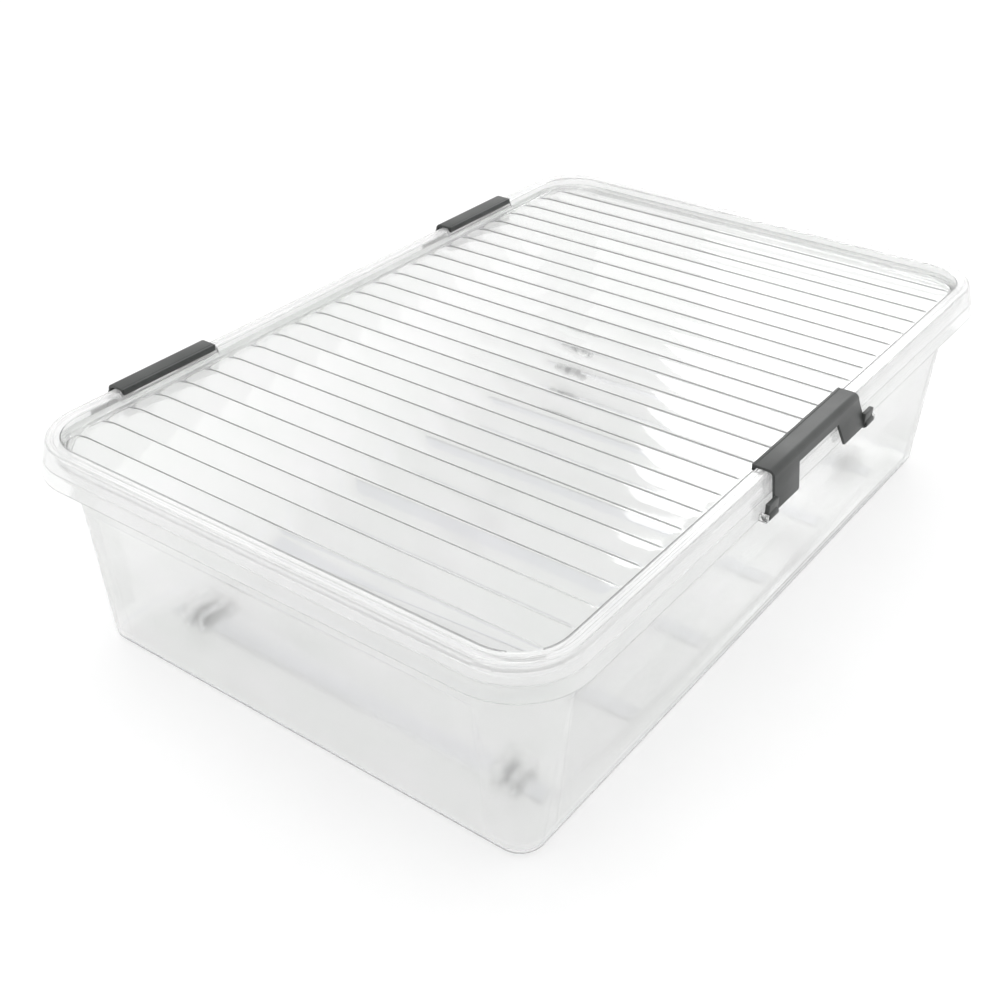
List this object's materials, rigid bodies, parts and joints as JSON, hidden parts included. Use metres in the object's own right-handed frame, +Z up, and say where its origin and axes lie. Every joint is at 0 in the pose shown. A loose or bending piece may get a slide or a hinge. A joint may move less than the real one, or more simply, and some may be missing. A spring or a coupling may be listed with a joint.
{
  "type": "under bed storage box",
  "caption": "Low clear plastic storage box on rollers, with a ribbed lift-off lid held by swing-over side clips.",
  "frame": {"origin": "on the floor, under the middle of the box", "axes": "+Z up, +X along the long sides, the side with the single long clip faces -Y"},
  "size_m": [0.794, 0.5414, 0.2146],
  "materials": {
    "clear_polypropylene": "clear moulded polypropylene, glossy with a faint milky haze",
    "clip_plastic": "satin dark grey moulded plastic",
    "roller_plastic": "satin near-black moulded plastic",
    "axle_steel": "bright drawn steel wire"
  },
  "bodies": {
    "tub": {"tub": "clear_polypropylene", "axle_left_front": "axle_steel", "axle_left_rear": "axle_steel", "axle_right_front": "axle_steel", "axle_right_rear": "axle_steel"},
    "lid": {"lid": "clear_polypropylene"},
    "front_clip": {"front_clip": "clip_plastic"},
    "rear_left_clip": {"rear_left_clip": "clip_plastic"},
    "rear_right_clip": {"rear_right_clip": "clip_plastic"},
    "roller_left_front": {"roller_left_front": "roller_plastic"},
    "roller_left_rear": {"roller_left_rear": "roller_plastic"},
    "roller_right_front": {"roller_right_front": "roller_plastic"},
    "roller_right_rear": {"roller_right_rear": "roller_plastic"}
  },
  "joints": [
    {"name": "lid_lift", "type": "slide", "parent": "tub", "child": "lid", "axis": [0, 0, 1], "range_m": [0, 0.02]},
    {"name": "front_clip_hinge", "type": "hinge", "parent": "tub", "child": "front_clip", "pos_m": [-0.003, -0.267, 0.1848], "axis": [1, 0, 0], "range_deg": [0, 150]},
    {"name": "rear_left_clip_hinge", "type": "hinge", "parent": "tub", "child": "rear_left_clip", "pos_m": [-0.237, 0.267, 0.1848], "axis": [-1, 0, 0], "range_deg": [0, 150]},
    {"name": "rear_right_clip_hinge", "type": "hinge", "parent": "tub", "child": "rear_right_clip", "pos_m": [0.211, 0.267, 0.1848], "axis": [-1, 0, 0], "range_deg": [0, 150]},
    {"name": "roller_left_front_spin", "type": "hinge", "parent": "tub", "child": "roller_left_front", "pos_m": [-0.293, -0.17, 0.01], "axis": [0, 1, 0], "continuous": true},
    {"name": "roller_left_rear_spin", "type": "hinge", "parent": "tub", "child": "roller_left_rear", "pos_m": [-0.293, 0.17, 0.01], "axis": [0, 1, 0], "continuous": true},
    {"name": "roller_right_front_spin", "type": "hinge", "parent": "tub", "child": "roller_right_front", "pos_m": [0.293, -0.17, 0.01], "axis": [0, 1, 0], "continuous": true},
    {"name": "roller_right_rear_spin", "type": "hinge", "parent": "tub", "child": "roller_right_rear", "pos_m": [0.293, 0.17, 0.01], "axis": [0, 1, 0], "continuous": true}
  ],
  "couplings": [
    {"joint": "front_clip_hinge", "follows": "lid_lift", "rad_per_m": 130.8},
    {"joint": "rear_left_clip_hinge", "follows": "lid_lift", "rad_per_m": 130.8},
    {"joint": "rear_right_clip_hinge", "follows": "lid_lift", "rad_per_m": 130.8}
  ]
}
